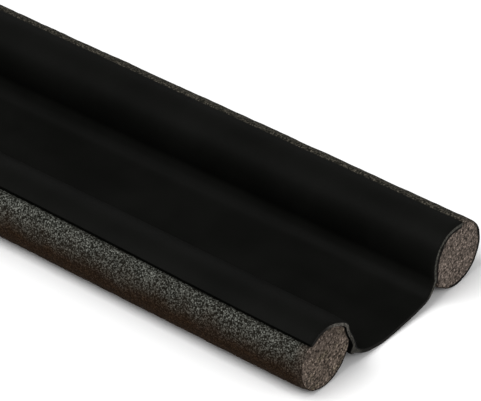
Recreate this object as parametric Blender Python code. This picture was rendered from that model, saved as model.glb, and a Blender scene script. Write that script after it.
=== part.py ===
"""Twin-roll draught excluder, lying on the floor as it is used.

Two solid foam rolls lie side by side. One strip of coated cloth is glued over both and hangs
between them as an open channel. The rolls run along X, the front roll is at -Y and the origin
is at the middle of the footprint. Sizes are in millimetres.
"""

import math

import bmesh
import bpy

MM = 0.001

# Driving sizes
LENGTH = 940.0
FOAM_RADIUS = 14.3
FLAT_SPOT_DEPTH = 0.4
ROLL_SPACING = 79.5
CLOTH_THICKNESS = 1.6
CLEARANCE = 0.4
FOAM_SET_BACK = 0.5

# Cut ends: the foam draws in over the last stretch, and each roll leans there by its end_lean,
# outwards where that is positive
END_STRETCH = 9.0
FOAM_DRAW_IN = 0.5

# Groove and shoulder that the foam makes beside the long edge of the cloth, and the angle at
# which the cloth has left the foam on the other side
GROOVE_WIDTH = 0.5
SHOULDER_WIDTH = 1.8
SEAT_END = 118.0

# Half of the small flat spot that each roll rests on, as an angle
FLAT_HALF_ANGLE = 10.0

# Pinched pleat along the outer side of the front crease
PLEAT_REACH = 2.0
PLEAT_WIDTH = 1.3
PLEAT_HEIGHT = 7.7
PLEAT_UNEVENNESS = 0.2

# Unevenness along the length: a long and a short wave, and how far each thing strays
LONG_WAVE = 92.0
SHORT_WAVE = 37.0
SHORT_SHARE = 0.35
FOAM_WOBBLE = 0.15
FOAM_WOBBLE_LEAN = 60.0
CLOTH_WOBBLE = 0.35

# Mesh spacing
END_STATIONS = (0.0, 1.5, 4.0, END_STRETCH)
SEAT_STEPS = 21
INNER_STEPS = 7
OUTER_STEPS = 15
SHOULDER_STEPS = 2
MIDDLE_SPANS = 16
STEPS_PER_SPAN = 2
SHARP_ANGLE = 35.0

AXIS_HEIGHT = FOAM_RADIUS - FLAT_SPOT_DEPTH
AXIS_Y = ROLL_SPACING / 2
HALF_CLOTH = CLOTH_THICKNESS / 2

# Angles run from the top of a roll, and are positive towards the other roll. The cloth lies
# over each roll by these angles, with its outer face at these radii.
FRONT_WRAP = (
    {"angle": -37.0, "radius": 14.1},
    {"angle": -20.0, "radius": 13.9},
    {"angle": 0.0, "radius": 13.8},
    {"angle": 20.0, "radius": 13.8},
    {"angle": 38.0, "radius": 14.1},
    {"angle": 50.0, "radius": 14.7},
    {"angle": 58.0, "radius": 15.1},
    {"angle": 65.0, "radius": 15.1},
    {"angle": 73.0, "radius": 14.8},
)
BACK_WRAP = (
    {"angle": 103.0, "radius": 15.5},
    {"angle": 92.0, "radius": 15.4},
    {"angle": 80.0, "radius": 15.7},
    {"angle": 64.0, "radius": 16.2},
    {"angle": 48.0, "radius": 16.5},
    {"angle": 30.0, "radius": 16.0},
    {"angle": 12.0, "radius": 15.2},
    {"angle": -7.0, "radius": 14.5},
)

# The long edge of the cloth lies on a roll at the angle free_edge, and strays by edge_sway degrees
ROLLS = (
    {
        "name": "foam_roll_front",
        "side": -1,
        "free_edge": -37.0,
        "edge_sway": 4.0,
        "edge_phase": -1.0,
        "cloth_draw_in": 0.5,
        "end_lean": -0.5,
        "phase": -0.4,
    },
    {
        "name": "foam_roll_back",
        "side": 1,
        "free_edge": -7.0,
        "edge_sway": 2.2,
        "edge_phase": 2.1,
        "cloth_draw_in": 0.0,
        "end_lean": 0.6,
        "phase": 2.1,
    },
)

# Where the middle of the cloth hangs between the rolls, and how much each place sways
HANG = (
    {"place": "front wall", "y": -24.6, "z": 13.2, "sway": 0.2},
    {"place": "front wall above the pleat", "y": -23.5, "z": 10.4, "sway": 0.4},
    {"place": "front wall above the pleat", "y": -23.1, "z": 9.1, "sway": 0.4},
    {"place": "pleat", "y": -22.7, "z": 7.9, "sway": 0.5},
    {"place": "front crease", "y": -22.2, "z": 6.7, "sway": 0.5},
    {"place": "front of the sag", "y": -21.3, "z": 5.6, "sway": 0.5},
    {"place": "sag", "y": -19.0, "z": 4.1, "sway": 0.5},
    {"place": "sag", "y": -15.6, "z": 2.6, "sway": 0.4},
    {"place": "front of the resting band", "y": -10.6, "z": 1.3, "sway": 0.0},
    {"place": "resting band", "y": -6.6, "z": HALF_CLOTH, "sway": 0.0},
    {"place": "back of the resting band", "y": -3.0, "z": HALF_CLOTH, "sway": 0.0},
    {"place": "rise", "y": 3.0, "z": 1.4, "sway": 0.4},
    {"place": "rise", "y": 11.0, "z": 2.1, "sway": 0.6},
    {"place": "rise", "y": 17.6, "z": 3.1, "sway": 0.6},
    {"place": "back crease", "y": 20.8, "z": 4.0, "sway": 0.5},
    {"place": "above the back crease", "y": 22.7, "z": 5.5, "sway": 0.4},
    {"place": "foot of the back roll", "y": 24.2, "z": 7.5, "sway": 0.2},
)


def smooth_step(value):
    value = min(max(value, 0.0), 1.0)
    return value * value * (3.0 - 2.0 * value)


def wobble(x, phase):
    """A slow, uneven wave along the length, between about -1 and 1."""
    long_wave = math.sin(x / LONG_WAVE + phase)
    short_wave = math.sin(x / SHORT_WAVE + 2.3 * phase + 1.0)
    return (1.0 - SHORT_SHARE) * long_wave + SHORT_SHARE * short_wave


def end_draw(x, reach):
    """1 at a cut end, easing to 0 where the end stretch stops."""
    from_end = max(reach - abs(x), 0.0)
    return (1.0 - min(from_end / END_STRETCH, 1.0)) ** 2


def roll_point(side, angle, radius):
    """(y, z) of a point at this angle and radius from the axis of a roll."""
    turn = math.radians(angle)
    return (
        side * (AXIS_Y - radius * math.sin(turn)),
        AXIS_HEIGHT + radius * math.cos(turn),
    )


def seen_angle(side, centre, point):
    """Angle at which a point is seen from the middle of a roll."""
    return math.degrees(math.atan2(side * (centre[0] - point[0]), point[1] - centre[1]))


def edge_angle(roll, x):
    """Angle at which the long edge of the cloth lies on a roll."""
    return roll["free_edge"] + roll["edge_sway"] * wobble(x, roll["edge_phase"])


def wrap_points(roll, wrap, x):
    """Middle of the cloth on one roll, as (y, z) points."""
    draw = roll["cloth_draw_in"] * end_draw(x, LENGTH / 2)
    points = []
    for row in wrap:
        at_edge = row["angle"] == roll["free_edge"]
        angle = edge_angle(roll, x) if at_edge else row["angle"]
        points.append(roll_point(roll["side"], angle, row["radius"] - HALF_CLOTH - draw))
    return points


def hang_points(x):
    """Middle of the cloth between the rolls, as (y, z) points."""
    points = []
    for number, row in enumerate(HANG):
        sway = CLOTH_WOBBLE * row["sway"]
        points.append(
            (
                row["y"] + sway * wobble(x, 0.5 * number),
                row["z"] + sway * wobble(x, 0.5 * number + 2.0),
            )
        )
    return points


def catmull_rom(guides, steps):
    """A smooth line through every guide point, with this many steps between two of them."""
    first = [2 * guides[0][axis] - guides[1][axis] for axis in (0, 1)]
    last = [2 * guides[-1][axis] - guides[-2][axis] for axis in (0, 1)]
    padded = [first, *guides, last]
    line = []
    for index in range(1, len(padded) - 2):
        before, start, end, after = padded[index - 1 : index + 3]
        for step in range(steps):
            t = step / steps
            line.append(
                tuple(
                    0.5
                    * (
                        2 * start[axis]
                        + (end[axis] - before[axis]) * t
                        + (2 * before[axis] - 5 * start[axis] + 4 * end[axis] - after[axis]) * t**2
                        + (3 * start[axis] - before[axis] - 3 * end[axis] + after[axis]) * t**3
                    )
                    for axis in (0, 1)
                )
            )
    line.append(tuple(guides[-1]))
    return line


def offset_line(line, distances):
    """The line moved sideways by a distance at each point, to its left where it is positive."""
    moved = []
    for index, ((y, z), distance) in enumerate(zip(line, distances)):
        before = line[max(index - 1, 0)]
        after = line[min(index + 1, len(line) - 1)]
        along = (after[0] - before[0], after[1] - before[1])
        size = math.hypot(*along)
        moved.append((y - distance * along[1] / size, z + distance * along[0] / size))
    return moved


def cloth_middle(x):
    front, back = ROLLS
    guides = wrap_points(front, FRONT_WRAP, x) + hang_points(x) + wrap_points(back, BACK_WRAP, x)
    return catmull_rom(guides, STEPS_PER_SPAN)


def cloth_faces(x):
    """The upper face and the under face of the cloth, as two lines that stay above the floor."""
    middle = cloth_middle(x)
    upper = offset_line(middle, [HALF_CLOTH] * len(middle))
    pleat = PLEAT_REACH * (1.0 + PLEAT_UNEVENNESS * wobble(x, 3.0))
    depths = []
    for y, z in middle:
        rise = (z - PLEAT_HEIGHT) / PLEAT_WIDTH if -AXIS_Y < y < 0 else math.inf
        depths.append(-HALF_CLOTH - pleat * math.exp(-rise * rise))
    under = [(y, max(z, 0.0)) for y, z in offset_line(middle, depths)]
    return upper, under


def distance_to_line(centre, direction, line):
    """How far a ray runs from the centre before it meets the line, or None."""
    nearest = None
    for start, end in zip(line, line[1:]):
        span = (end[0] - start[0], end[1] - start[1])
        cross = direction[0] * span[1] - direction[1] * span[0]
        if abs(cross) < 1e-9:
            continue
        offset = (start[0] - centre[0], start[1] - centre[1])
        reach = (offset[0] * span[1] - offset[1] * span[0]) / cross
        along = (offset[0] * direction[1] - offset[1] * direction[0]) / cross
        if reach > 0 and 0 <= along <= 1 and (nearest is None or reach < nearest):
            nearest = reach
    return nearest


def spaced(start, end, steps):
    """Evenly spaced values from the start up to, but without, the end."""
    return [start + (end - start) * step / steps for step in range(steps)]


def foam_angles(groove, shoulder):
    """Angles once round a roll: under the cloth, round the free foam, and up the shoulder."""
    flat_start, flat_end = 180.0 - FLAT_HALF_ANGLE, 180.0 + FLAT_HALF_ANGLE
    return (
        spaced(groove, SEAT_END, SEAT_STEPS)
        + spaced(SEAT_END, flat_start, INNER_STEPS)
        + [flat_start]
        + spaced(flat_end, shoulder + 360.0, OUTER_STEPS)
        + spaced(shoulder + 360.0, groove + 360.0, SHOULDER_STEPS)
    )


def foam_section(roll, x):
    """Outline of a roll: free foam, pressed in wherever the cloth is pulled tight over it."""
    side = roll["side"]
    under_face = cloth_faces(x)[1]
    limit = offset_line(under_face, [-CLEARANCE] * len(under_face))
    draw = end_draw(x, LENGTH / 2)
    free_radius = FOAM_RADIUS - FOAM_DRAW_IN * draw
    shift = side * roll["end_lean"] * draw
    centre = (side * AXIS_Y + shift, AXIS_HEIGHT)
    edge = seen_angle(side, centre, roll_point(side, edge_angle(roll, x), free_radius))
    groove = edge - math.degrees(GROOVE_WIDTH / free_radius)
    shoulder = groove - math.degrees(SHOULDER_WIDTH / free_radius)
    seat_radius = math.dist(centre, limit[0 if side < 0 else -1])
    outline = []
    for angle in foam_angles(groove, shoulder):
        turn = math.radians(angle)
        lean = FOAM_WOBBLE_LEAN * math.sin(turn)
        bumps = FOAM_WOBBLE * wobble(x + lean, roll["phase"] + 2.0 * turn)
        radius = free_radius + bumps
        if angle < SEAT_END:
            direction = (-side * math.sin(turn), math.cos(turn))
            reach = distance_to_line(centre, direction, limit)
            radius = min(radius, seat_radius if reach is None else reach)
        climb = (groove + 360.0 - angle) / (groove - shoulder)
        radius = min(radius, seat_radius + (free_radius - seat_radius) * smooth_step(climb))
        y, z = roll_point(side, angle, radius)
        outline.append((y + shift, max(z, 0.0)))
    return outline


def stations(reach):
    """Places along X, closer together near the cut ends."""
    near_end = [reach - from_end for from_end in END_STATIONS]
    inner = near_end[-1]
    middle = [inner - 2 * inner * step / MIDDLE_SPANS for step in range(1, MIDDLE_SPANS)]
    return near_end + middle + [-x for x in reversed(near_end)]


def plain_material(name, colour, roughness):
    material = bpy.data.materials.new(name)
    material.use_nodes = True
    shader = material.node_tree.nodes["Principled BSDF"]
    shader.inputs["Base Color"].default_value = (*colour, 1.0)
    shader.inputs["Roughness"].default_value = roughness
    shader.inputs["Metallic"].default_value = 0.0
    return material


def loft(name, places, outlines, cap_faces, material):
    """A closed solid through outlines that lie across X."""
    mesh = bpy.data.meshes.new(name)
    bm = bmesh.new()
    rings = []
    for x, outline in zip(places, outlines):
        rings.append([bm.verts.new((x * MM, y * MM, z * MM)) for y, z in outline])
    count = len(rings[0])
    for ring, following in zip(rings, rings[1:]):
        for index in range(count):
            beside = (index + 1) % count
            bm.faces.new((ring[index], ring[beside], following[beside], following[index]))
    for ring in (rings[0], rings[-1]):
        for corners in cap_faces(count):
            bm.faces.new([ring[corner] for corner in corners])
    bmesh.ops.recalc_face_normals(bm, faces=bm.faces)
    bm.to_mesh(mesh)
    bm.free()
    mesh.shade_smooth()
    mesh.set_sharp_from_angle(angle=math.radians(SHARP_ANGLE))
    mesh.materials.append(material)
    piece = bpy.data.objects.new(name, mesh)
    bpy.context.scene.collection.objects.link(piece)
    return piece


def disc_cap(count):
    """One face over the whole end of a roll."""
    return [list(range(count))]


def band_cap(count):
    """Faces between the upper and the under line of the cloth's cut end."""
    return [(i, i + 1, count - 2 - i, count - 1 - i) for i in range(count // 2 - 1)]


def make_foam_rolls(material):
    places = stations(LENGTH / 2 - FOAM_SET_BACK)
    for roll in ROLLS:
        outlines = [foam_section(roll, x) for x in places]
        loft(roll["name"], places, outlines, disc_cap, material)


def make_cloth_strip(material):
    places = stations(LENGTH / 2)
    outlines = []
    for x in places:
        upper, under = cloth_faces(x)
        outlines.append(upper + under[::-1])
    loft("cloth_strip", places, outlines, band_cap, material)


def main():
    for old in list(bpy.data.objects):
        bpy.data.objects.remove(old)
    make_foam_rolls(plain_material("dark_grey_foam", (0.075, 0.070, 0.062), 0.95))
    make_cloth_strip(plain_material("black_coated_cloth", (0.010, 0.010, 0.009), 0.70))


main()
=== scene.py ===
"""Looks of the twin-roll draught excluder: two foam rolls with their cells and cut ends, and the
coated cloth that is glued over both and sags between them. Shapes are worked out in millimetres,
in the frame of the solids: +X along the rolls, the front roll at -Y, +Z up.
"""

import itertools
import math

import bmesh
import bpy
import numpy as np
from mathutils import Matrix, Vector


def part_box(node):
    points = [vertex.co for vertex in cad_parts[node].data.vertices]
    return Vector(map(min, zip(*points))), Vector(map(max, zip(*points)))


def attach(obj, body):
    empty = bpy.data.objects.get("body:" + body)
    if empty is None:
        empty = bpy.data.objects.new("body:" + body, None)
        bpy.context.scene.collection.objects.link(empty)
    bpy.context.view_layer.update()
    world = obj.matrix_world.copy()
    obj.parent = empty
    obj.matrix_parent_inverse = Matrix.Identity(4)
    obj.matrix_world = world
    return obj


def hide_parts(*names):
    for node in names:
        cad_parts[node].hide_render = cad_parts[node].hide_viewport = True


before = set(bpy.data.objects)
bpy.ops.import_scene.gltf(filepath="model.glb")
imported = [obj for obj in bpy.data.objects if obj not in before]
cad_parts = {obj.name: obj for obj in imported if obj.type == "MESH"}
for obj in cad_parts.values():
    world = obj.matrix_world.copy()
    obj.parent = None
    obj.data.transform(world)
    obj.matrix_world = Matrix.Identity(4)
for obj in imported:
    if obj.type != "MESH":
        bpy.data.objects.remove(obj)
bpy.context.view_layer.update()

MM = 0.001

# Lengths read from the solids
LENGTH = (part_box("cloth_strip")[1].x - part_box("cloth_strip")[0].x) / MM
FOAM_LENGTH = (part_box("foam_roll_front")[1].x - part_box("foam_roll_front")[0].x) / MM

# Section sizes
FOAM_RADIUS = 14.3
FLAT_SPOT_DEPTH = 0.4
ROLL_SPACING = 79.5
CLOTH_THICKNESS = 1.6
UPPER_SKIN = 0.28
UNDER_SKIN = 0.06
AXIS_HEIGHT = FOAM_RADIUS - FLAT_SPOT_DEPTH
AXIS_Y = ROLL_SPACING / 2
HALF_CLOTH = CLOTH_THICKNESS / 2

# Cut ends: the foam draws in over the last stretch, and each roll leans there by its end_lean,
# outwards where that is positive. The foam has rounded rims and a cut face that lies a little
# deeper, and the cloth has slightly rounded corners.
END_STRETCH = 9.0
FOAM_DRAW_IN = 0.5
RIM_ROUNDING = 0.45
RIM_STEPS = 4
CUT_DEPTH = 0.12
CORNER_ROUNDING = 0.12

# Low on its inner side a roll bulges by its heel, towards each cut end
HEEL_ANGLE = 118.0
HEEL_HALF_ANGLE = 26.0

# Groove and shoulder that the foam makes beside the long edge of the cloth, the angle at which
# the cloth has left the foam on the other side, how many radii of the foam away it then is, and
# half of the flat spot as an angle
GROOVE_WIDTH = 0.5
SHOULDER_WIDTH = 1.8
SEAT_END = 118.0
CLOTH_LEAVES = 1.15
FLAT_HALF_ANGLE = 10.0

# How light the foam is painted beside its rounded rims, on them and where the cut face starts, as
# painted shade: first on the lit side, then on the darker side that faces back and down. Where the
# cloth covers it, a rim keeps the share rim_by_cloth of that, a painted shadow in the gap by the
# cloth. The face starts with as many rings of points as dark_rings says.
RIM_SHADES = {"beside": (1.0, 0.6), "rim": (0.8, 0.1), "face": (0.8, 0.15)}
# Way in a section that the painted dark side of a rim faces, and the shares over which it darkens
RIM_DARK_WAY = (0.8, -0.6)
RIM_DARK_FROM = 0.0
RIM_DARK_FULL = 0.6

# Angles over which the foam lightens beside the cloth, out of a painted dark line of shade, over
# which its lumps fade in there, and over which its points follow the cloth's edge
DARK_LINE = 0.5
DARK_LINE_FADE = 2.0
FREE_FROM = 5.0
EDGE_FOLLOW = 35.0

# Pinched pleat along the outer side of the front crease
PLEAT_REACH = 2.0
PLEAT_WIDTH = 1.3
PLEAT_HEIGHT = 7.7
PLEAT_UNEVENNESS = 0.2

# Unevenness along the length: a long and a short wave with phases of their own, and how far the
# foam and the cloth stray
LONG_WAVE = 92.0
SHORT_WAVE = 37.0
SHORT_SHARE = 0.35
SHORT_PHASE_GAIN = 2.3
SHORT_PHASE_START = 1.0
PLEAT_PHASE = 3.0
SWAY_PHASE_STEP = 0.5
SWAY_PHASE_UP = 2.0
FOAM_WOBBLE = 0.15
FOAM_WOBBLE_LEAN = 60.0
CLOTH_WOBBLE = 0.35

# Fine form: lumps and cells of the foam, soft ripples of the cloth, which grow where it hangs
# free, and the fray of its cut edges
FOAM_LUMPS = (
    {"cell": 13.0, "height": 0.10, "seed": 3},
    {"cell": 5.5, "height": 0.07, "seed": 11},
    {"cell": 2.3, "height": 0.10, "seed": 23},
)
CUT_LUMPS = (
    {"cell": 4.5, "height": 0.06, "seed": 43},
    {"cell": 1.9, "height": 0.08, "seed": 41},
)
CLOTH_RIPPLES = (
    {"along": 70.0, "across": 9.0, "height": 0.10, "seed": 5},
    {"along": 22.0, "across": 5.0, "height": 0.05, "seed": 17},
)
HANG_REACH = 24.0
HANG_FADE = 3.0
RIPPLE_GAIN = 1.5
EDGE_FRAY = {"cell": 2.6, "height": 0.10, "seed": 61}
FRAY_THROUGH = 3.0

# Mesh spacing
FOAM_STEP = 1.0
SHOULDER_STEPS = 4
END_RINGS = 20
CLOTH_STEP = 2.2
STEPS_PER_SPAN = 3
SHARP_ANGLE = 50.0

# Rows of points through the thickness of the cloth at its cut edges, as shares from its upper
# face, with the skins at both sides
EDGE_SHARES = (UPPER_SKIN / CLOTH_THICKNESS, 0.55, 1.0 - UNDER_SKIN / CLOTH_THICKNESS)

# Angles run from the top of a roll, and are positive towards the other roll. The cloth lies
# over each roll by these angles, with its outer face at these radii.
FRONT_WRAP = (
    {"angle": -37.0, "radius": 14.1},
    {"angle": -20.0, "radius": 13.9},
    {"angle": 0.0, "radius": 13.8},
    {"angle": 20.0, "radius": 13.8},
    {"angle": 38.0, "radius": 14.1},
    {"angle": 50.0, "radius": 14.7},
    {"angle": 58.0, "radius": 15.1},
    {"angle": 65.0, "radius": 15.1},
    {"angle": 73.0, "radius": 14.8},
)
BACK_WRAP = (
    {"angle": 103.0, "radius": 15.5},
    {"angle": 92.0, "radius": 15.4},
    {"angle": 80.0, "radius": 15.7},
    {"angle": 64.0, "radius": 16.2},
    {"angle": 48.0, "radius": 16.5},
    {"angle": 30.0, "radius": 16.0},
    {"angle": 12.0, "radius": 15.2},
    {"angle": -7.0, "radius": 14.5},
)

# The long edge of the cloth lies on a roll at the angle free_edge, and strays by edge_sway degrees.
# Under the cloth the foam keeps seat_gap from it, and its rims are rounded by rim_in_seat.
FRONT_ROLL = {
    "node": "foam_roll_front",
    "piece": "front_roll_foam",
    "side": -1,
    "free_edge": -37.0,
    "edge_sway": 4.0,
    "edge_phase": -1.0,
    "cloth_draw_in": 0.5,
    "end_lean": -0.5,
    "seat_gap": 0.2,
    "rim_in_seat": 0.2,
    "dark_rings": 1,
    "rim_by_cloth": 0.75,
    "heel": 0.0,
    "phase": -0.4,
}
BACK_ROLL = {
    "node": "foam_roll_back",
    "piece": "back_roll_foam",
    "side": 1,
    "free_edge": -7.0,
    "edge_sway": 2.2,
    "edge_phase": 2.1,
    "cloth_draw_in": 0.0,
    "end_lean": 0.6,
    "seat_gap": 0.4,
    "rim_in_seat": RIM_ROUNDING,
    "dark_rings": 2,
    "rim_by_cloth": 0.3,
    "heel": 1.5,
    "phase": 2.1,
}

# Where the middle of the cloth hangs between the rolls, and how much each place sways
HANG = (
    {"place": "front wall", "y": -24.6, "z": 13.2, "sway": 0.2},
    {"place": "front wall above the pleat", "y": -23.5, "z": 10.4, "sway": 0.4},
    {"place": "front wall above the pleat", "y": -23.1, "z": 9.1, "sway": 0.4},
    {"place": "pleat", "y": -22.7, "z": 7.9, "sway": 0.5},
    {"place": "front crease", "y": -22.2, "z": 6.7, "sway": 0.5},
    {"place": "front of the sag", "y": -21.3, "z": 5.6, "sway": 0.5},
    {"place": "sag", "y": -19.0, "z": 4.1, "sway": 0.5},
    {"place": "sag", "y": -15.6, "z": 2.6, "sway": 0.4},
    {"place": "front of the resting band", "y": -10.6, "z": 1.3, "sway": 0.0},
    {"place": "resting band", "y": -6.6, "z": HALF_CLOTH, "sway": 0.0},
    {"place": "back of the resting band", "y": -3.0, "z": HALF_CLOTH, "sway": 0.0},
    {"place": "rise", "y": 3.0, "z": 1.4, "sway": 0.4},
    {"place": "rise", "y": 11.0, "z": 2.1, "sway": 0.6},
    {"place": "rise", "y": 17.6, "z": 3.1, "sway": 0.6},
    {"place": "back crease", "y": 20.8, "z": 4.0, "sway": 0.5},
    {"place": "above the back crease", "y": 22.7, "z": 5.5, "sway": 0.4},
    {"place": "foot of the back roll", "y": 24.2, "z": 7.5, "sway": 0.2},
)

# Camera: where it looks from, in degrees and millimetres, found by matching the outlines of the
# photograph, and how near and far it sees, in metres
CAMERA_AZIMUTH = 39.557
CAMERA_ELEVATION = 34.987
CAMERA_RIGHT = -55.816
CAMERA_UP = 49.764
CAMERA_DISTANCE = 1172.617
CAMERA_LENS = 239.5
SENSOR_WIDTH = 36.0
CLIP_START = 0.05
CLIP_END = 50.0

# Floor, in metres
FLOOR_GAP = 0.0002
FLOOR_SIZE = 8.0

# Soft light, with places and sizes in metres and power in watts
WORLD_STRENGTH = 0.55
LAMPS = (
    {
        "name": "key",
        "place": (0.1, -0.9, 1.6),
        "target": (0.3, 0.0, 0.0),
        "size": 1.2,
        "power": 30.0,
    },
    {
        "name": "end_fill",
        "place": (1.9, 0.1, 0.9),
        "target": (0.45, 0.0, 0.0),
        "size": 0.9,
        "power": 10.0,
    },
)

# Where the foam's side turns browner beside its cut ends, counted in metres from the end
BROWN_FROM = -0.0040
BROWN_FULL = 0.0015


def wobble(x, phase):
    """A slow, uneven wave along the length, between about -1 and 1."""
    long_wave = np.sin(x / LONG_WAVE + phase)
    short_wave = np.sin(x / SHORT_WAVE + SHORT_PHASE_GAIN * phase + SHORT_PHASE_START)
    return (1.0 - SHORT_SHARE) * long_wave + SHORT_SHARE * short_wave


def smooth_step(value):
    value = np.clip(value, 0.0, 1.0)
    return value * value * (3.0 - 2.0 * value)


def end_draw(x, reach):
    """1 at a cut end, easing to 0 where the end stretch stops."""
    from_end = np.maximum(reach - np.abs(x), 0.0)
    return (1.0 - np.minimum(from_end / END_STRETCH, 1.0)) ** 2


def lattice_noise(points, cell, seed):
    """Smooth noise between -1 and 1 at points (count, 3), with bumps of about one cell."""
    scaled = points / cell
    base = np.floor(scaled).astype(np.int64)
    ease = smooth_step(scaled - base)
    total = np.zeros(len(points))
    for corner in itertools.product((0, 1), repeat=3):
        at = base + np.array(corner)
        mixed = at[:, 0] * 73856093 ^ at[:, 1] * 19349663 ^ at[:, 2] * 83492791 ^ seed * 2654435
        mixed = (mixed ^ (mixed >> 13)) * 1274126177
        value = ((mixed >> 8) & 0xFFFF) / 32767.5 - 1.0
        weight = np.ones(len(points))
        for axis, side in enumerate(corner):
            weight = weight * (ease[:, axis] if side else 1.0 - ease[:, axis])
        total += weight * value
    return total


def roll_points(side, angle, radius):
    """(y, z) of points at these angles and radii from the axis of a roll."""
    turn = np.radians(angle)
    y = side * (AXIS_Y - radius * np.sin(turn))
    z = AXIS_HEIGHT + radius * np.cos(turn)
    return np.stack(np.broadcast_arrays(y, z), axis=-1)


def edge_angle(roll, x):
    """Angle at which the long edge of the cloth lies on a roll."""
    return roll["free_edge"] + roll["edge_sway"] * wobble(x, roll["edge_phase"])


def lean_at(roll, x):
    """How far outwards the middle of a roll lies from its axis."""
    return roll["end_lean"] * end_draw(x, LENGTH / 2)


def free_radius(x):
    return FOAM_RADIUS - FOAM_DRAW_IN * end_draw(x, LENGTH / 2)


def groove_angle(roll, x):
    """Angle of the groove beside the cloth, seen from the middle of the roll."""
    radius = free_radius(x)
    edge = np.radians(edge_angle(roll, x))
    seen = np.arctan2(radius * np.sin(edge) + lean_at(roll, x), radius * np.cos(edge))
    return np.degrees(seen - GROOVE_WIDTH / radius)


def wrap_guides(roll, wrap, x):
    """Middle of the cloth on one roll: guides in an array (x, guide, 2)."""
    draw = roll["cloth_draw_in"] * end_draw(x, LENGTH / 2)
    guides = []
    for row in wrap:
        at_edge = row["angle"] == roll["free_edge"]
        angle = edge_angle(roll, x) if at_edge else row["angle"]
        guides.append(roll_points(roll["side"], angle, row["radius"] - HALF_CLOTH - draw))
    return np.stack(guides, axis=1)


def hang_guides(x):
    """Middle of the cloth between the rolls: guides in an array (x, guide, 2)."""
    guides = []
    for number, row in enumerate(HANG):
        sway = CLOTH_WOBBLE * row["sway"]
        phase = SWAY_PHASE_STEP * number
        y = row["y"] + sway * wobble(x, phase)
        z = row["z"] + sway * wobble(x, phase + SWAY_PHASE_UP)
        guides.append(np.stack([y, z], axis=-1))
    return np.stack(guides, axis=1)


def catmull_rom(guides, steps):
    """A smooth line through every guide, with this many steps between two of them."""
    first = 2 * guides[:, :1] - guides[:, 1:2]
    last = 2 * guides[:, -1:] - guides[:, -2:-1]
    padded = np.concatenate([first, guides, last], axis=1)
    before, start, end, after = (padded[:, i : i + guides.shape[1] - 1] for i in range(4))
    line = []
    for step in range(steps):
        t = step / steps
        bend = 2 * before - 5 * start + 4 * end - after
        twist = 3 * start - before - 3 * end + after
        line.append(0.5 * (2 * start + (end - before) * t + bend * t**2 + twist * t**3))
    inner = np.stack(line, axis=2).reshape(len(guides), -1, 2)
    return np.concatenate([inner, guides[:, -1:]], axis=1)


def sideways(line):
    """Unit normals to the left of each point of the lines (x, point, 2)."""
    along = np.empty_like(line)
    along[:, 1:-1] = line[:, 2:] - line[:, :-2]
    along[:, 0] = line[:, 1] - line[:, 0]
    along[:, -1] = line[:, -1] - line[:, -2]
    along /= np.linalg.norm(along, axis=2, keepdims=True)
    return np.stack([-along[..., 1], along[..., 0]], axis=-1)


def cloth_lines(x):
    """Middle, upper face and under face of the cloth, each an array (x, point, 2)."""
    front = wrap_guides(FRONT_ROLL, FRONT_WRAP, x)
    back = wrap_guides(BACK_ROLL, BACK_WRAP, x)
    guides = np.concatenate([front, hang_guides(x), back], axis=1)
    middle = catmull_rom(guides, STEPS_PER_SPAN)
    normal = sideways(middle)
    upper = middle + HALF_CLOTH * normal
    pleat = PLEAT_REACH * (1.0 + PLEAT_UNEVENNESS * wobble(x, PLEAT_PHASE))
    y, z = middle[..., 0], middle[..., 1]
    pinch = np.exp(-(((z - PLEAT_HEIGHT) / PLEAT_WIDTH) ** 2)) * ((y > -AXIS_Y) & (y < 0))
    under = middle - (HALF_CLOTH + pleat[:, None] * pinch)[..., None] * normal
    under[..., 1] = np.maximum(under[..., 1], 0.0)
    return middle, upper, under


def seat_limit(roll, x, under):
    """Angle and radius, seen from the middle of a roll, of the nearest that foam may come to
    the cloth."""
    limit = under - roll["seat_gap"] * sideways(under)
    if roll["side"] > 0:
        limit = limit[:, ::-1]
    y = AXIS_Y + lean_at(roll, x)[:, None] - roll["side"] * limit[..., 0]
    z = limit[..., 1] - AXIS_HEIGHT
    angle = np.degrees(np.arctan2(y, z))
    return angle, np.hypot(y, z)


def shifted_angles(roll, x):
    """Angles of the points round a roll (x, angle), which follow the cloth's edge near it."""
    groove = roll["free_edge"] - math.degrees(GROOVE_WIDTH / FOAM_RADIUS)
    shoulder = groove - math.degrees(SHOULDER_WIDTH / FOAM_RADIUS)
    rest = shoulder + 360.0
    step = math.degrees(FOAM_STEP / FOAM_RADIUS)
    seat_count = int(round((SEAT_END - groove) / step))
    free_count = int(round((rest - SEAT_END) / step))
    base = np.concatenate(
        [
            np.linspace(shoulder, groove, SHOULDER_STEPS, endpoint=False),
            np.linspace(groove, SEAT_END, seat_count, endpoint=False),
            np.linspace(SEAT_END, rest, free_count, endpoint=False),
        ]
    )
    from_edge = np.minimum(np.abs(base - groove), np.abs(rest - base))
    follow = 1.0 - smooth_step((from_edge - EDGE_FOLLOW) / EDGE_FOLLOW)
    shift = groove_angle(roll, x) - groove
    return base[None, :] + shift[:, None] * follow[None, :]


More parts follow.
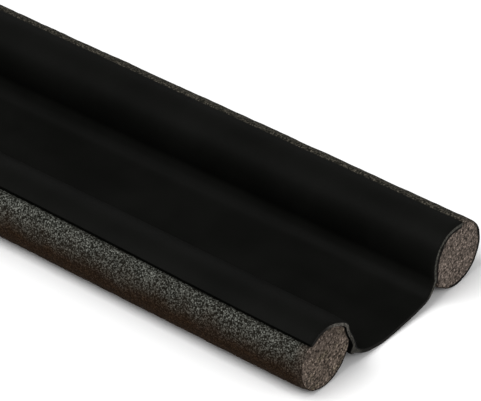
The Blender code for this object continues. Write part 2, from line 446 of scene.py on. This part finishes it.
def foam_radii(roll, x, angles):
    """Radius of a roll at every x and angle (x, angle), pressed in under the cloth, how free the
    foam is there, 0 under the cloth and 1 well clear of it and of the floor, and its painted
    shade, 0 in the painted dark line of shade beside the cloth and 1 away from it."""
    limit_angle, limit_radius = seat_limit(roll, x, cloth_lines(x)[2])
    free = free_radius(x)[:, None]
    turn = np.radians(angles)
    lean = FOAM_WOBBLE_LEAN * np.sin(turn)
    radius = free + FOAM_WOBBLE * wobble(x[:, None] + lean, roll["phase"] + 2.0 * turn)
    heel = smooth_step(1.0 - np.abs(angles - HEEL_ANGLE) / HEEL_HALF_ANGLE)
    radius += roll["heel"] * end_draw(x, LENGTH / 2)[:, None] * heel
    groove = groove_angle(roll, x)[:, None]
    seat = limit_radius[:, :1]
    pressed = np.empty_like(radius)
    for row in range(len(x)):
        count = int(np.argmax(limit_radius[row] > CLOTH_LEAVES * FOAM_RADIUS))
        reach = np.maximum.accumulate(limit_angle[row, :count])
        pressed[row] = np.interp(angles[row], reach, limit_radius[row, :count])
    under_cloth = (angles > groove) & (angles < SEAT_END)
    radius = np.where(under_cloth, np.minimum(radius, pressed), radius)
    beside = np.where(angles >= SEAT_END, groove + 360.0 - angles, groove - angles)
    climb = beside / np.degrees(SHOULDER_WIDTH / free)
    eased = seat + (radius - seat) * smooth_step(climb)
    radius = np.where(under_cloth, radius, np.where(climb < 1.0, eased, radius))
    from_edge = smooth_step((beside - FREE_FROM) / FREE_FROM)
    from_foot = smooth_step((angles - SEAT_END) / FREE_FROM)
    from_floor = smooth_step((np.abs(angles - 180.0) - FLAT_HALF_ANGLE) / FREE_FROM)
    exposed = np.where(under_cloth, 0.0, np.where(angles >= SEAT_END, from_foot, 1.0) * from_edge)
    # Painted shade: near black under the cloth and in a dark line beside it, lightening away from it
    shade = np.where(under_cloth, 0.0, smooth_step((beside - DARK_LINE) / DARK_LINE_FADE))
    return radius, exposed * from_floor, shade


def ring_points(roll, x, angles, radii):
    """Points (x, angle, 3) round a roll, none of them below the floor."""
    section = roll_points(roll["side"], angles, radii)
    section[..., 0] += roll["side"] * lean_at(roll, x)[:, None]
    section[..., 1] = np.maximum(section[..., 1], 0.0)
    along = np.broadcast_to(x[:, None], radii.shape)
    return np.concatenate([along[..., None], section], axis=-1)


def layered_noise(points, layers):
    """Sum of the named layers of noise at points (..., 3)."""
    flat = points.reshape(-1, 3)
    total = sum(row["height"] * lattice_noise(flat, row["cell"], row["seed"]) for row in layers)
    return total.reshape(points.shape[:-1])


def grid_faces(index, closed):
    """Quads between the rows of a grid of point numbers, closed across its columns if asked."""
    if closed:
        index = np.concatenate([index, index[:, :1]], axis=1)
    corners = (index[:-1, :-1], index[:-1, 1:], index[1:, 1:], index[1:, :-1])
    return np.stack(corners, axis=-1).reshape(-1, 4)


def make_piece(name, points, faces, slots, materials):
    """A mesh object from points in millimetres, with a material number for each face."""
    mesh = bpy.data.meshes.new(name)
    mesh.from_pydata((points * MM).tolist(), [], [face.tolist() for face in faces])
    for material in materials:
        mesh.materials.append(material)
    mesh.polygons.foreach_set("material_index", slots)
    bm = bmesh.new()
    bm.from_mesh(mesh)
    bmesh.ops.recalc_face_normals(bm, faces=bm.faces)
    bm.to_mesh(mesh)
    bm.free()
    mesh.shade_smooth()
    mesh.set_sharp_from_angle(angle=math.radians(SHARP_ANGLE))
    piece = bpy.data.objects.new(name, mesh)
    bpy.context.scene.collection.objects.link(piece)
    return piece


def rim_shade(roll, angles, kind):
    """How light the foam is painted round a rim: painted shade, darker where the rim faces back and
    down.
    """
    turn = np.radians(angles)
    facing = -roll["side"] * np.sin(turn) * RIM_DARK_WAY[0] + np.cos(turn) * RIM_DARK_WAY[1]
    share = smooth_step((facing - RIM_DARK_FROM) / (RIM_DARK_FULL - RIM_DARK_FROM))
    lit, dark = RIM_SHADES[kind]
    return lit + (dark - lit) * share


def end_cap_points(roll, end, angles, rim, in_seat):
    """Rings of a cut end: down its rounded rim and over its face, then the middle point."""
    reach = end * FOAM_LENGTH / 2
    rounding = np.where(in_seat, roll["rim_in_seat"], RIM_ROUNDING)
    rings = []
    for step in range(1, RIM_STEPS):
        turn = math.pi / 2 * step / RIM_STEPS
        place = np.array([reach - end * RIM_ROUNDING * (1.0 - math.sin(turn))])
        radii = rim - rounding * (1.0 - math.cos(turn))
        ring = ring_points(roll, place, angles[None, :], radii[None, :])[0]
        ring[:, 0] -= end * CUT_DEPTH * step / RIM_STEPS
        rings.append(ring)
    for number in range(END_RINGS):
        radii = (rim - rounding) * (1.0 - number / END_RINGS)
        ring = ring_points(roll, np.array([reach]), angles[None, :], radii[None, :])[0]
        ring[:, 0] -= end * (CUT_DEPTH + layered_noise(ring, CUT_LUMPS))
        rings.append(ring)
    middle = rings[-1].mean(axis=0, keepdims=True)
    return np.concatenate(rings + [middle])


def make_foam_roll(roll, materials):
    inner = FOAM_LENGTH / 2 - RIM_ROUNDING
    x = np.linspace(-inner, inner, int(round(2 * inner / FOAM_STEP)) + 1)
    angles = shifted_angles(roll, x)
    radii, exposed, shade = foam_radii(roll, x, angles)
    radii = radii + exposed * layered_noise(ring_points(roll, x, angles, radii), FOAM_LUMPS)
    body = ring_points(roll, x, angles, radii)
    around = angles.shape[1]
    points = [body.reshape(-1, 3)]
    # Painted shade: the rows beside the rims are darker on the side that faces back and down
    shade[[0, -1]] *= rim_shade(roll, angles[[0, -1]], "beside")
    shades = [shade.ravel()]
    index = np.arange(body.shape[0] * around).reshape(-1, around)
    blocks = [grid_faces(index, closed=True)]
    slots = [np.zeros(len(blocks[0]), int)]
    for end, row in ((-1, 0), (1, -1)):
        start = sum(len(block) for block in points)
        in_seat = shade[row] == 0.0
        cap = end_cap_points(roll, end, angles[row], radii[row], in_seat)
        rings = start + np.arange(len(cap) - 1).reshape(-1, around)
        quads = grid_faces(np.concatenate([index[row][None, :], rings]), closed=True)
        middle = np.full(around, start + len(cap) - 1)
        fan = np.stack([rings[-1], np.roll(rings[-1], -1), middle], axis=1)
        points.append(cap)
        # Painted shade on the rims and first rings of the face, darker where they face back and down,
        # and a painted shadow on rims under the cloth
        by_cloth = np.where(in_seat, roll["rim_by_cloth"], 1.0)
        on_rim = by_cloth * rim_shade(roll, angles[row], "rim")
        face_start = by_cloth * rim_shade(roll, angles[row], "face")
        dark = [on_rim] * (RIM_STEPS - 1) + [face_start] * roll["dark_rings"]
        shades.extend(dark + [np.ones(len(cap) - len(dark) * around)])
        blocks.extend([quads, fan])
        on_face = np.arange(len(quads) + len(fan)) >= RIM_STEPS * around
        slots.append(on_face.astype(int))
    faces = [face for block in blocks for face in block]
    piece = make_piece(roll["piece"], np.concatenate(points), faces, np.concatenate(slots), materials)
    # The painted shade is kept on the points for the foam's materials
    attribute = piece.data.attributes.new("shade", "FLOAT", "POINT")
    attribute.data.foreach_set("value", np.concatenate(shades))
    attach(piece, "root")
    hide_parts(roll["node"])
    return piece


def cloth_places():
    """Places along X for the cloth's sections: even, with two close together at each cut end."""
    reach = LENGTH / 2
    inner = reach - CORNER_ROUNDING
    even = np.linspace(-inner, inner, int(round(2 * inner / CLOTH_STEP)) + 1)
    return np.concatenate([[-reach], even, [reach]])


def ripple_height(x, middle):
    """Height of the cloth's soft ripples (x, point), larger where it hangs free of the rolls."""
    step = np.linalg.norm(np.diff(middle, axis=1), axis=2)
    across = np.concatenate([np.zeros((len(x), 1)), np.cumsum(step, axis=1)], axis=1)
    along = np.broadcast_to(x[:, None], across.shape)
    height = np.zeros(across.shape)
    for row in CLOTH_RIPPLES:
        places = np.stack([along / row["along"], across / row["across"], 0.0 * along], axis=-1)
        noise = lattice_noise(places.reshape(-1, 3), 1.0, row["seed"])
        height += row["height"] * noise.reshape(across.shape)
    hanging = smooth_step((HANG_REACH - np.abs(middle[..., 0])) / HANG_FADE)
    return height * (1.0 + RIPPLE_GAIN * hanging)


def edge_points(x, upper, under, outward, inset):
    """Points down a long cut edge of the cloth (x, share, 2), between its two faces."""
    rows = []
    for share in EDGE_SHARES:
        place = np.stack([x, np.full(len(x), FRAY_THROUGH * share), 0.0 * x], axis=-1)
        fray = EDGE_FRAY["height"] * lattice_noise(place, EDGE_FRAY["cell"], EDGE_FRAY["seed"])
        bulge = CORNER_ROUNDING - inset + fray
        rows.append(upper + (under - upper) * share + bulge[:, None] * outward)
    return np.stack(rows, axis=1)


def cloth_loops(x):
    """Closed sections of the cloth (x, point, 2): upper face, back edge, under face, front edge."""
    middle, upper, under = cloth_lines(x)
    normal = sideways(middle)
    inset = np.where(np.abs(x) > LENGTH / 2 - CORNER_ROUNDING / 2, CORNER_ROUNDING, 0.0)
    ripple = ripple_height(x, middle)
    upper = upper + (ripple - inset[:, None])[..., None] * normal
    under = under + ripple[..., None] * normal
    front_out = np.stack([normal[:, 0, 1], -normal[:, 0, 0]], axis=-1) * -1.0
    back_out = np.stack([normal[:, -1, 1], -normal[:, -1, 0]], axis=-1)
    front_edge = edge_points(x, upper[:, 0], under[:, 0], front_out, inset)
    back_edge = edge_points(x, upper[:, -1], under[:, -1], back_out, inset)
    loops = np.concatenate([upper, back_edge, under[:, ::-1], front_edge[:, ::-1]], axis=1)
    loops[..., 1] = np.maximum(loops[..., 1], 0.0)
    return loops, upper.shape[1]


def cut_end_grid(ring, width, first_new):
    """Point numbers over a cut end: rows from the upper to the under face, columns across."""
    rows = len(EDGE_SHARES)
    grid = np.empty((rows + 2, width), int)
    grid[0] = ring[:width]
    grid[1:-1, -1] = ring[width : width + rows]
    grid[-1] = ring[width + rows : 2 * width + rows][::-1]
    grid[1:-1, 0] = ring[2 * width + rows :][::-1]
    grid[1:-1, 1:-1] = first_new + np.arange(rows * (width - 2)).reshape(rows, width - 2)
    return grid


def cut_end_points(points, grid, end):
    """The new points over a cut end, standing a little proud of its corners and uneven."""
    upper = points[grid[0, 1:-1]]
    under = points[grid[-1, 1:-1]]
    rows = []
    for share in EDGE_SHARES:
        row = upper * (1.0 - share) + under * share
        fray = EDGE_FRAY["height"] * lattice_noise(row, EDGE_FRAY["cell"] / 2, EDGE_FRAY["seed"])
        row[:, 0] += end * fray
        rows.append(row)
    return np.concatenate(rows)


def make_cloth_strip(materials):
    x = cloth_places()
    loops, width = cloth_loops(x)
    count, around = loops.shape[:2]
    along = np.broadcast_to(x[:, None], (count, around))
    points = np.concatenate([along[..., None], loops], axis=-1).reshape(-1, 3)
    index = np.arange(count * around).reshape(count, around)
    blocks = [grid_faces(index, closed=True)]
    slots = [np.zeros(len(blocks[0]), int)]
    for end, row in ((-1, 0), (1, -1)):
        grid = cut_end_grid(index[row], width, len(points))
        points = np.concatenate([points, cut_end_points(points, grid, end)])
        blocks.append(grid_faces(grid, closed=False))
        kinds = np.ones((grid.shape[0] - 1, width - 1), int)
        kinds[0] = 0
        kinds[-1] = 0
        slots.append(kinds.ravel())
    faces = [face for block in blocks for face in block]
    piece = make_piece("coated_cloth_strip", points, faces, np.concatenate(slots), materials)
    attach(piece, "root")
    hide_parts("cloth_strip")
    return piece


class Nodes:
    """A material's node tree, with short ways to add and link nodes."""

    def __init__(self, name):
        self.material = bpy.data.materials.new(name)
        self.material.use_nodes = True
        self.tree = self.material.node_tree
        self.shader = self.tree.nodes["Principled BSDF"]
        self.place = self.add("ShaderNodeTexCoord").outputs["Object"]

    def add(self, kind, inputs=None, **settings):
        node = self.tree.nodes.new(kind)
        for name, value in settings.items():
            setattr(node, name, value)
        for name, value in (inputs or {}).items():
            socket = node.inputs[name]
            if isinstance(value, bpy.types.NodeSocket):
                self.tree.links.new(value, socket)
            else:
                socket.default_value = value
        return node

    def noise(self, size, detail=2.0, roughness=0.55, distortion=0.0):
        """Noise between 0 and 1 with features of about this size in metres."""
        inputs = {
            "Vector": self.place,
            "Scale": 1.0 / size,
            "Detail": detail,
            "Roughness": roughness,
            "Distortion": distortion,
        }
        return self.add("ShaderNodeTexNoise", inputs).outputs["Fac"]

    def cell_walls(self, size, thickness):
        """1 on the walls between cells of about this size, falling to 0 inside them."""
        inputs = {"Vector": self.place, "Scale": 1.0 / size}
        cells = self.add("ShaderNodeTexVoronoi", inputs, feature="DISTANCE_TO_EDGE")
        return self.ramp(cells.outputs["Distance"], 0.0, thickness, 1.0, 0.0)

    def spots(self, size, inner, outer):
        """Round spots, one to a cell of about this size, each with a lightness of its own."""
        inputs = {"Vector": self.place, "Scale": 1.0 / size}
        cells = self.add("ShaderNodeTexVoronoi", inputs, feature="F1")
        spot = self.ramp(cells.outputs["Distance"], inner, outer, 1.0, 0.0)
        parts = self.add("ShaderNodeSeparateColor", {"Color": cells.outputs["Color"]})
        return self.math("MULTIPLY", spot, self.ramp(parts.outputs["Red"], 0.0, 1.0, 0.2, 1.0))

    def along(self, axis):
        """Place along X, Y or Z in metres."""
        return self.add("ShaderNodeSeparateXYZ", {"Vector": self.place}).outputs[axis]

    def shade(self):
        """The painted shade kept on the points of the mesh."""
        return self.add("ShaderNodeAttribute", attribute_name="shade").outputs["Fac"]

    def ramp(self, value, low, high, to_low=0.0, to_high=1.0):
        """The value eased from one range to another."""
        inputs = {
            "Value": value,
            "From Min": low,
            "From Max": high,
            "To Min": to_low,
            "To Max": to_high,
        }
        return self.add("ShaderNodeMapRange", inputs, interpolation_type="SMOOTHSTEP").outputs["Result"]

    def math(self, operation, first, second, third=0.0):
        inputs = {0: first, 1: second, 2: third}
        return self.add("ShaderNodeMath", inputs, operation=operation).outputs["Value"]

    def mix(self, share, first, second):
        """A colour between two others. Colours are linear RGB or sockets."""
        node = self.add("ShaderNodeMix", data_type="RGBA")
        sockets = {s.identifier: s for s in node.inputs}
        for key, value in (("Factor_Float", share), ("A_Color", first), ("B_Color", second)):
            if isinstance(value, bpy.types.NodeSocket):
                self.tree.links.new(value, sockets[key])
            elif key == "Factor_Float":
                sockets[key].default_value = value
            else:
                sockets[key].default_value = (*value, 1.0)
        return next(s for s in node.outputs if s.identifier == "Result_Color")

    def bump(self, height, strength, depth):
        """A bump of this depth in metres."""
        inputs = {"Height": height, "Strength": strength, "Distance": depth}
        return self.add("ShaderNodeBump", inputs).outputs["Normal"]

    def finish(self, colour, normal, roughness, specular):
        self.tree.links.new(colour, self.shader.inputs["Base Color"])
        self.tree.links.new(normal, self.shader.inputs["Normal"])
        if isinstance(roughness, bpy.types.NodeSocket):
            self.tree.links.new(roughness, self.shader.inputs["Roughness"])
        else:
            self.shader.inputs["Roughness"].default_value = roughness
        self.shader.inputs["Specular IOR Level"].default_value = specular
        return self.material


def foam_side_material():
    """Outside of the foam: short light flecks on dark, browner and painted darker low down as shade,
    browner by the ends, and painted shade beside the cloth and round the rims.
    """
    nodes = Nodes("foam_side")
    spots = nodes.spots(0.00082, 0.16, 0.50)
    walls = nodes.cell_walls(0.0010, 0.24)
    broken = nodes.ramp(nodes.noise(0.00085, 1.0, 0.5), 0.42, 0.60)
    strokes = nodes.math("MULTIPLY", walls, broken)
    light = nodes.math("MULTIPLY_ADD", strokes, 0.50, nodes.math("MULTIPLY", spots, 0.95))
    patches = nodes.ramp(nodes.noise(0.012, 2.0), 0.3, 0.7)
    dark = nodes.mix(patches, (0.007, 0.007, 0.0055), (0.010, 0.010, 0.0080))
    pale = nodes.mix(patches, (0.150, 0.156, 0.138), (0.186, 0.192, 0.171))
    browner = nodes.ramp(nodes.along("Y"), 0.02, 0.03)
    pale = nodes.mix(browner, pale, (0.100, 0.090, 0.072))
    from_middle = nodes.math("ABSOLUTE", nodes.along("X"), 0.0)
    uneven = nodes.math("MULTIPLY_ADD", nodes.noise(0.003, 1.0), 0.003, from_middle)
    end = LENGTH / 2 * MM
    by_end = nodes.ramp(uneven, end + BROWN_FROM, end + BROWN_FULL)
    pale = nodes.mix(by_end, pale, (0.165, 0.143, 0.120))
    dark = nodes.mix(by_end, dark, (0.018, 0.0145, 0.0115))
    upper = nodes.mix(light, dark, pale)
    # Low down the foam is painted darker, as shade that falls there, and browner; less dark by the ends
    low_dark = nodes.mix(by_end, (0.009, 0.0050, 0.0025), (0.014, 0.0095, 0.0065))
    low_pale = nodes.mix(by_end, (0.036, 0.0210, 0.0115), (0.070, 0.0520, 0.0380))
    lower = nodes.mix(light, low_dark, low_pale)
    edge = nodes.math("MULTIPLY_ADD", nodes.noise(0.009, 2.0), 0.009, nodes.along("Z"))
    rise = nodes.ramp(edge, 0.0155, 0.0300)
    # Painted shade: near black in the dark line beside the cloth and on rims that face back and down
    colour = nodes.mix(nodes.shade(), (0.002, 0.002, 0.0015), nodes.mix(rise, lower, upper))
    normal = nodes.bump(light, 0.5, 0.0003)
    return nodes.finish(colour, normal, 0.85, 0.015)


def foam_cut_material():
    """Cut face of the foam: fine brown-grey grain with a ragged rim of painted shade. On the front
    roll it has faint olive patches and is darker at the top."""
    nodes = Nodes("foam_cut")
    spots = nodes.spots(0.00095, 0.20, 0.60)
    strokes = nodes.ramp(nodes.noise(0.0010, 1.0, 0.5, 0.3), 0.36, 0.66)
    pits = nodes.ramp(nodes.noise(0.0012, 1.0, 0.5), 0.32, 0.45, 1.0, 0.0)
    patches = nodes.ramp(nodes.noise(0.004, 2.0), 0.52, 0.74, 0.0, 0.6)
    light = nodes.math("MULTIPLY_ADD", strokes, 0.30, nodes.math("MULTIPLY", spots, 0.80))
    dark = nodes.mix(patches, (0.032, 0.0247, 0.0190), (0.030, 0.0250, 0.0155))
    high = nodes.ramp(nodes.along("Z"), 0.012, 0.022)
    plain = nodes.mix(high, (0.284, 0.224, 0.182), (0.190, 0.150, 0.125))
    olive = nodes.mix(high, (0.246, 0.208, 0.146), (0.170, 0.144, 0.104))
    pale = nodes.mix(patches, plain, olive)
    back = nodes.ramp(nodes.along("Y"), -0.01, 0.01)
    dark = nodes.mix(back, dark, (0.042, 0.0335, 0.0275))
    pale = nodes.mix(back, pale, (0.298, 0.238, 0.202))
    colour = nodes.mix(light, dark, pale)
    colour = nodes.mix(nodes.math("MULTIPLY", pits, 0.9), colour, (0.011, 0.009, 0.007))
    # Ragged rim of painted shade, near black where the shade kept on the points is low
    ragged = nodes.math("MULTIPLY_ADD", nodes.noise(0.0016, 1.0), 0.9, nodes.shade())
    colour = nodes.mix(nodes.ramp(ragged, 0.8, 1.2), (0.006, 0.0055, 0.005), colour)
    normal = nodes.bump(light, 0.4, 0.0002)
    return nodes.finish(colour, normal, 0.9, 0.04)


def cloth_skin_material():
    """Coated face of the cloth: near black, matte, with a fine soft grain."""
    nodes = Nodes("cloth_skin")
    grain = nodes.noise(0.0005, 2.0)
    wear = nodes.ramp(nodes.noise(0.03, 3.0), 0.3, 0.7)
    colour = nodes.mix(wear, (0.0019, 0.0020, 0.0016), (0.0032, 0.0033, 0.0028))
    normal = nodes.bump(grain, 0.25, 0.00006)
    return nodes.finish(colour, normal, nodes.ramp(grain, 0.2, 0.8, 0.52, 0.66), 0.035)


def cloth_cut_material():
    """Cut edge of the cloth: grey-brown and a little fibrous on the walls, darker down the front one,
    and dark elsewhere."""
    nodes = Nodes("cloth_cut")
    grain = nodes.ramp(nodes.noise(0.0010, 2.0), 0.35, 0.65)
    front_low = nodes.mix(grain, (0.013, 0.0125, 0.010), (0.040, 0.0375, 0.032))
    front_high = nodes.mix(grain, (0.030, 0.028, 0.024), (0.092, 0.086, 0.076))
    lighter_edge = nodes.mix(nodes.ramp(nodes.along("Z"), 0.009, 0.024), front_low, front_high)
    across = nodes.along("Y")
    from_top = nodes.ramp(across, -0.041, -0.035)
    to_crease = nodes.ramp(across, -0.021, -0.018, 1.0, 0.0)
    back_wall = nodes.ramp(across, 0.0205, 0.0235)
    back = nodes.mix(grain, (0.020, 0.020, 0.016), (0.064, 0.061, 0.052))
    lighter_edge = nodes.mix(back_wall, lighter_edge, back)
    # Away from the walls, set by place across the strip, the cut edge is dark
    wall = nodes.math("MAXIMUM", nodes.math("MULTIPLY", from_top, to_crease), back_wall)
    colour = nodes.mix(wall, (0.007, 0.0065, 0.0055), lighter_edge)
    normal = nodes.bump(grain, 0.4, 0.0001)
    return nodes.finish(colour, normal, 0.9, 0.08)


def make_floor():
    mesh = bpy.data.meshes.new("floor")
    half = FLOOR_SIZE / 2
    corners = [(-half, -half), (half, -half), (half, half), (-half, half)]
    mesh.from_pydata([(x, y, -FLOOR_GAP) for x, y in corners], [], [(0, 1, 2, 3)])
    floor = bpy.data.objects.new("floor", mesh)
    bpy.context.scene.collection.objects.link(floor)
    nodes = Nodes("pale_floor")
    shade = nodes.ramp(nodes.noise(0.4, 1.0), 0.2, 0.8)
    colour = nodes.mix(shade, (0.86, 0.86, 0.86), (0.88, 0.88, 0.88))
    normal = nodes.bump(nodes.noise(0.002, 1.0), 0.02, 0.00005)
    mesh.materials.append(nodes.finish(colour, normal, 0.9, 0.1))


def make_light(row):
    """A soft square lamp, turned towards its target."""
    lamp = bpy.data.lights.new(row["name"], "AREA")
    lamp.size = row["size"]
    lamp.energy = row["power"]
    light = bpy.data.objects.new(row["name"], lamp)
    light.location = row["place"]
    towards = Vector(row["target"]) - Vector(row["place"])
    light.rotation_euler = towards.to_track_quat("-Z", "Y").to_euler()
    bpy.context.scene.collection.objects.link(light)


def make_world():
    world = bpy.data.worlds.new("studio")
    world.use_nodes = True
    background = world.node_tree.nodes["Background"]
    background.inputs["Color"].default_value = (1.0, 1.0, 1.0, 1.0)
    background.inputs["Strength"].default_value = WORLD_STRENGTH
    bpy.context.scene.world = world


def make_camera():
    """The photograph's camera. Its place is counted from the middle of the near end."""
    azimuth = math.radians(CAMERA_AZIMUTH)
    elevation = math.radians(CAMERA_ELEVATION)
    right = Vector((math.cos(azimuth), math.sin(azimuth), 0.0))
    back = Vector(
        (
            math.sin(azimuth) * math.cos(elevation),
            -math.cos(azimuth) * math.cos(elevation),
            math.sin(elevation),
        )
    )
    up = back.cross(right)
    near_end = Vector((LENGTH / 2, 0.0, -FLAT_SPOT_DEPTH))
    place = near_end + CAMERA_RIGHT * right + CAMERA_UP * up + CAMERA_DISTANCE * back
    data = bpy.data.cameras.new("camera")
    data.sensor_width = SENSOR_WIDTH
    data.lens = CAMERA_LENS
    data.clip_start = CLIP_START
    data.clip_end = CLIP_END
    camera = bpy.data.objects.new("camera", data)
    turn = Matrix((right, up, back)).transposed()
    camera.matrix_world = Matrix.Translation(place * MM) @ turn.to_4x4()
    bpy.context.scene.collection.objects.link(camera)
    bpy.context.scene.camera = camera


make_camera()
make_floor()
make_world()
for lamp_row in LAMPS:
    make_light(lamp_row)
bpy.context.scene.view_settings.view_transform = "Standard"

foam_materials = [foam_side_material(), foam_cut_material()]
cloth_materials = [cloth_skin_material(), cloth_cut_material()]
front_foam = make_foam_roll(FRONT_ROLL, foam_materials)
back_foam = make_foam_roll(BACK_ROLL, foam_materials)
strip = make_cloth_strip(cloth_materials)
